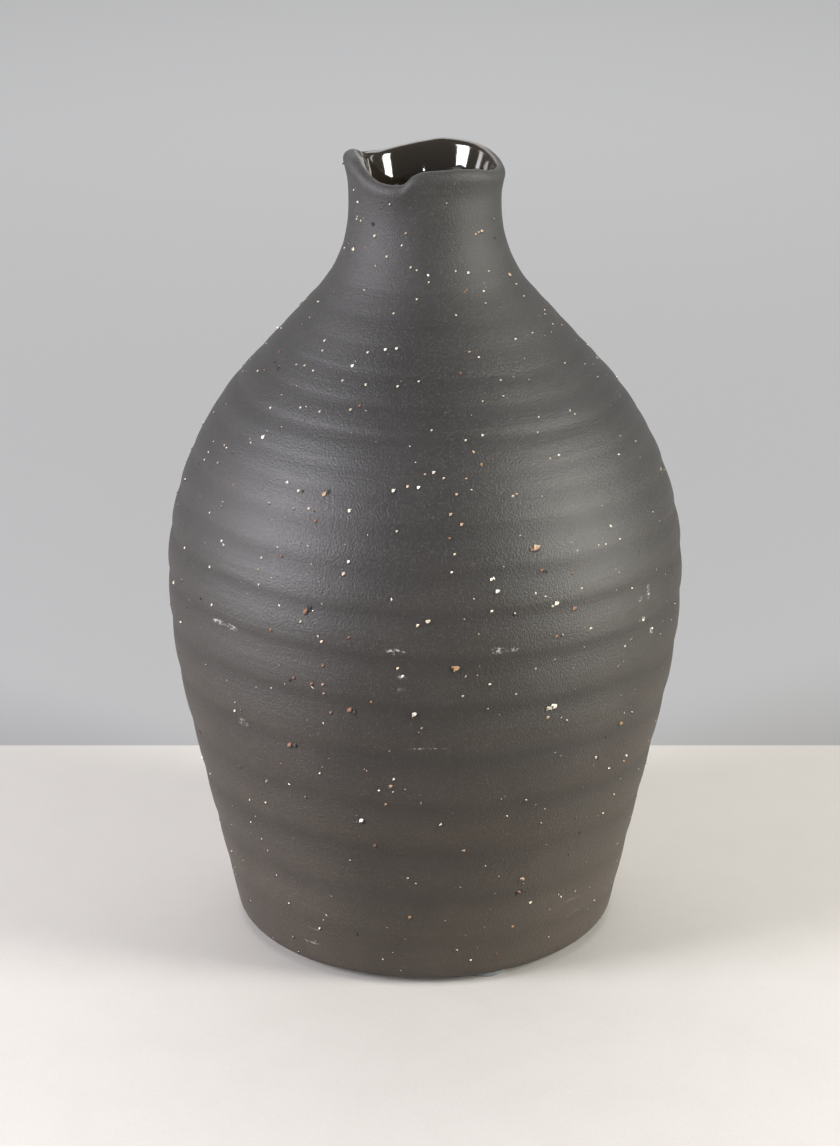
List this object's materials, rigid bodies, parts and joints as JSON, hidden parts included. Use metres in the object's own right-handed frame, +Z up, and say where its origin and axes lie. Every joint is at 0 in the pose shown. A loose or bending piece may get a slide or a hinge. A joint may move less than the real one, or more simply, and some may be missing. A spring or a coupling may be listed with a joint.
{
  "type": "vase",
  "caption": "Hand-thrown dark stoneware vase with a narrow neck, a broad shoulder, an uneven rolled lip and a spiral of soft throwing rings, on thin round foot pads.",
  "frame": {"origin": "centre of the vase on the surface that it stands on", "axes": "+Z up the wheel's axis, -Y to the front of the vase, +X to the right seen from there"},
  "size_m": [0.1826, 0.1826, 0.2818],
  "materials": {
    "clay": "matte",
    "pad": "matte"
  },
  "bodies": {
    "root": {"vase_body": "clay", "foot_pad_1": "pad", "foot_pad_2": "pad", "foot_pad_3": "pad"}
  },
  "joints": []
}
